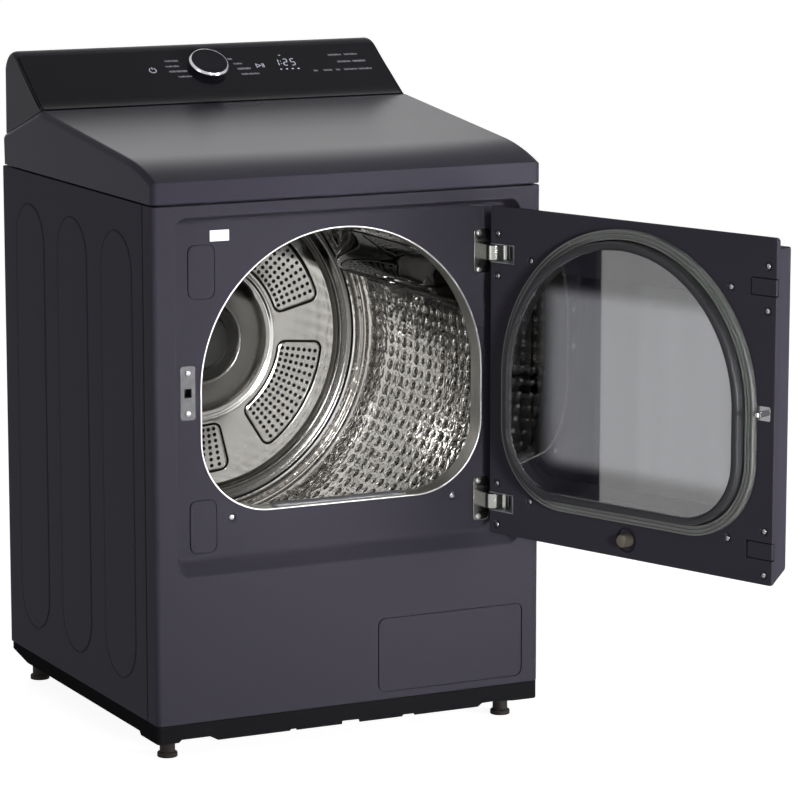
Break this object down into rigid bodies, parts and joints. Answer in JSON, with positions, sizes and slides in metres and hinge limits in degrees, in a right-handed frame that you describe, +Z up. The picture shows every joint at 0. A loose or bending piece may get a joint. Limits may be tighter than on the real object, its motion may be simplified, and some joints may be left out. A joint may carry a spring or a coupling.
{
  "type": "clothes dryer",
  "caption": "Free-standing front-loading tumble dryer in dark charcoal with a rear console, a side-swing window door, a dimpled steel drum and a lift-out lint filter.",
  "frame": {"origin": "on the floor in the middle of the rectangle of the four levelling feet", "axes": "+X to the right seen from the front, +Y to the back, +Z up; the door opens towards -Y"},
  "size_m": [0.8324, 1.2437, 1.091],
  "materials": {
    "charcoal_paint": "satin charcoal paint",
    "base_black": "matte black",
    "console_charcoal": "satin charcoal",
    "fascia_black": "gloss black",
    "knob_silver": "bright ring round a black face",
    "trim_steel": "satin",
    "drum_steel": "dimpled, bright",
    "galvanised": "dull",
    "rear_wall_steel": "satin",
    "felt": "dark felt",
    "rubber_black": "matte",
    "gasket_grey": "matte grey",
    "frame_black": "black",
    "tinted_glass": "tinted",
    "white_label": "blank",
    "inner_black": "black",
    "duct_plastic": "grey",
    "screw_steel": "plated",
    "motor_paint": "grey",
    "rotor_steel": "machined",
    "board_green": "circuit board",
    "heater_ceramic": "dull"
  },
  "bodies": {
    "cabinet": {"left_side_panel": "charcoal_paint", "right_side_panel": "charcoal_paint", "front_panel": "charcoal_paint", "top_panel": "charcoal_paint", "rear_panel": "galvanised", "base_pan": "base_black", "front_bulkhead": "galvanised", "rear_bulkhead": "rear_wall_steel", "opening_trim": "trim_steel", "access_cover": "charcoal_paint", "blanking_plates": "charcoal_paint", "latch_plate": "base_black", "latch_catch": "inner_black", "label_plate": "white_label", "panel_screws": "screw_steel", "hinge_brackets": "galvanised", "console_housing": "console_charcoal", "console_fascia": "fascia_black", "control_board": "board_green", "selector_encoder": "inner_black", "lint_filter_duct": "duct_plastic", "moisture_sensor_bars": "trim_steel", "front_felt_seal": "felt", "rear_felt_seal": "felt", "roller_shafts": "rotor_steel", "drive_belt": "rubber_black", "motor": "motor_paint", "blower_housing": "duct_plastic", "exhaust_duct": "galvanised", "idler_bracket": "galvanised", "heater_box": "galvanised", "heater_element": "heater_ceramic", "thermostats": "inner_black", "terminal_block": "inner_black", "terminal_cover": "galvanised"},
    "drum": {"drum_shell": "drum_steel", "drum_lifters": "drum_steel"},
    "rotor": {"motor_rotor": "rotor_steel", "blower_wheel": "duct_plastic"},
    "idler": {"idler_pulley": "duct_plastic"},
    "door": {"door_inner_panel": "charcoal_paint", "door_outer_panel": "charcoal_paint", "window_frame": "frame_black", "door_glass": "tinted_glass", "door_gasket": "gasket_grey", "door_strike": "trim_steel", "door_blanking_covers": "charcoal_paint", "door_bumper": "rubber_black", "door_screws": "screw_steel", "hinge_pivots": "galvanised"},
    "knob": {"selector_knob": "knob_silver"},
    "filter": {"lint_filter": "duct_plastic"},
    "roller_front_left_body": {"roller_front_left": "duct_plastic"},
    "roller_front_right_body": {"roller_front_right": "duct_plastic"},
    "roller_rear_left_body": {"roller_rear_left": "duct_plastic"},
    "roller_rear_right_body": {"roller_rear_right": "duct_plastic"},
    "foot_front_left_body": {"foot_front_left": "rubber_black"},
    "foot_front_right_body": {"foot_front_right": "rubber_black"},
    "foot_rear_left_body": {"foot_rear_left": "rubber_black"},
    "foot_rear_right_body": {"foot_rear_right": "rubber_black"}
  },
  "joints": [
    {"name": "door_swing", "type": "hinge", "parent": "cabinet", "child": "door", "pos_m": [0.277, -0.345, 0.582], "axis": [0, 0, 1], "range_deg": [-110, 30]},
    {"name": "drum_spin", "type": "hinge", "parent": "cabinet", "child": "drum", "pos_m": [0, 0, 0.575], "axis": [0, 1, 0], "continuous": true},
    {"name": "rotor_spin", "type": "hinge", "parent": "cabinet", "child": "rotor", "pos_m": [0.15, -0.1, 0.155], "axis": [0, 1, 0], "continuous": true},
    {"name": "idler_spin", "type": "hinge", "parent": "cabinet", "child": "idler", "pos_m": [0.21399, -0.046, 0.21724], "axis": [0, 1, 0], "continuous": true},
    {"name": "knob_turn", "type": "hinge", "parent": "cabinet", "child": "knob", "pos_m": [0, 0.22398, 1.0561], "axis": [0, -0.5736, 0.8192], "continuous": true},
    {"name": "filter_lift", "type": "slide", "parent": "cabinet", "child": "filter", "axis": [0, 0, 1], "range_m": [0, 0.165]},
    {"name": "roller_front_left_spin", "type": "hinge", "parent": "cabinet", "child": "roller_front_left_body", "pos_m": [-0.18457, -0.246, 0.27962], "axis": [0, 1, 0], "continuous": true},
    {"name": "roller_front_right_spin", "type": "hinge", "parent": "cabinet", "child": "roller_front_right_body", "pos_m": [0.18457, -0.246, 0.27962], "axis": [0, 1, 0], "continuous": true},
    {"name": "roller_rear_left_spin", "type": "hinge", "parent": "cabinet", "child": "roller_rear_left_body", "pos_m": [-0.18457, 0.236, 0.27962], "axis": [0, 1, 0], "continuous": true},
    {"name": "roller_rear_right_spin", "type": "hinge", "parent": "cabinet", "child": "roller_rear_right_body", "pos_m": [0.18457, 0.236, 0.27962], "axis": [0, 1, 0], "continuous": true},
    {"name": "foot_front_left_screw", "type": "slide", "parent": "cabinet", "child": "foot_front_left_body", "axis": [0, 0, 1], "range_m": [-0.015, 0.008]},
    {"name": "foot_front_right_screw", "type": "slide", "parent": "cabinet", "child": "foot_front_right_body", "axis": [0, 0, 1], "range_m": [-0.015, 0.008]},
    {"name": "foot_rear_left_screw", "type": "slide", "parent": "cabinet", "child": "foot_rear_left_body", "axis": [0, 0, 1], "range_m": [-0.015, 0.008]},
    {"name": "foot_rear_right_screw", "type": "slide", "parent": "cabinet", "child": "foot_rear_right_body", "axis": [0, 0, 1], "range_m": [-0.015, 0.008]}
  ],
  "couplings": [
    {"joint": "roller_front_left_spin", "follows": "drum_spin", "ratio": -8.9429},
    {"joint": "roller_front_right_spin", "follows": "drum_spin", "ratio": -8.9429},
    {"joint": "roller_rear_left_spin", "follows": "drum_spin", "ratio": -8.9429},
    {"joint": "roller_rear_right_spin", "follows": "drum_spin", "ratio": -8.9429},
    {"joint": "rotor_spin", "follows": "drum_spin", "ratio": 23.74},
    {"joint": "idler_spin", "follows": "drum_spin", "ratio": -14.596}
  ]
}
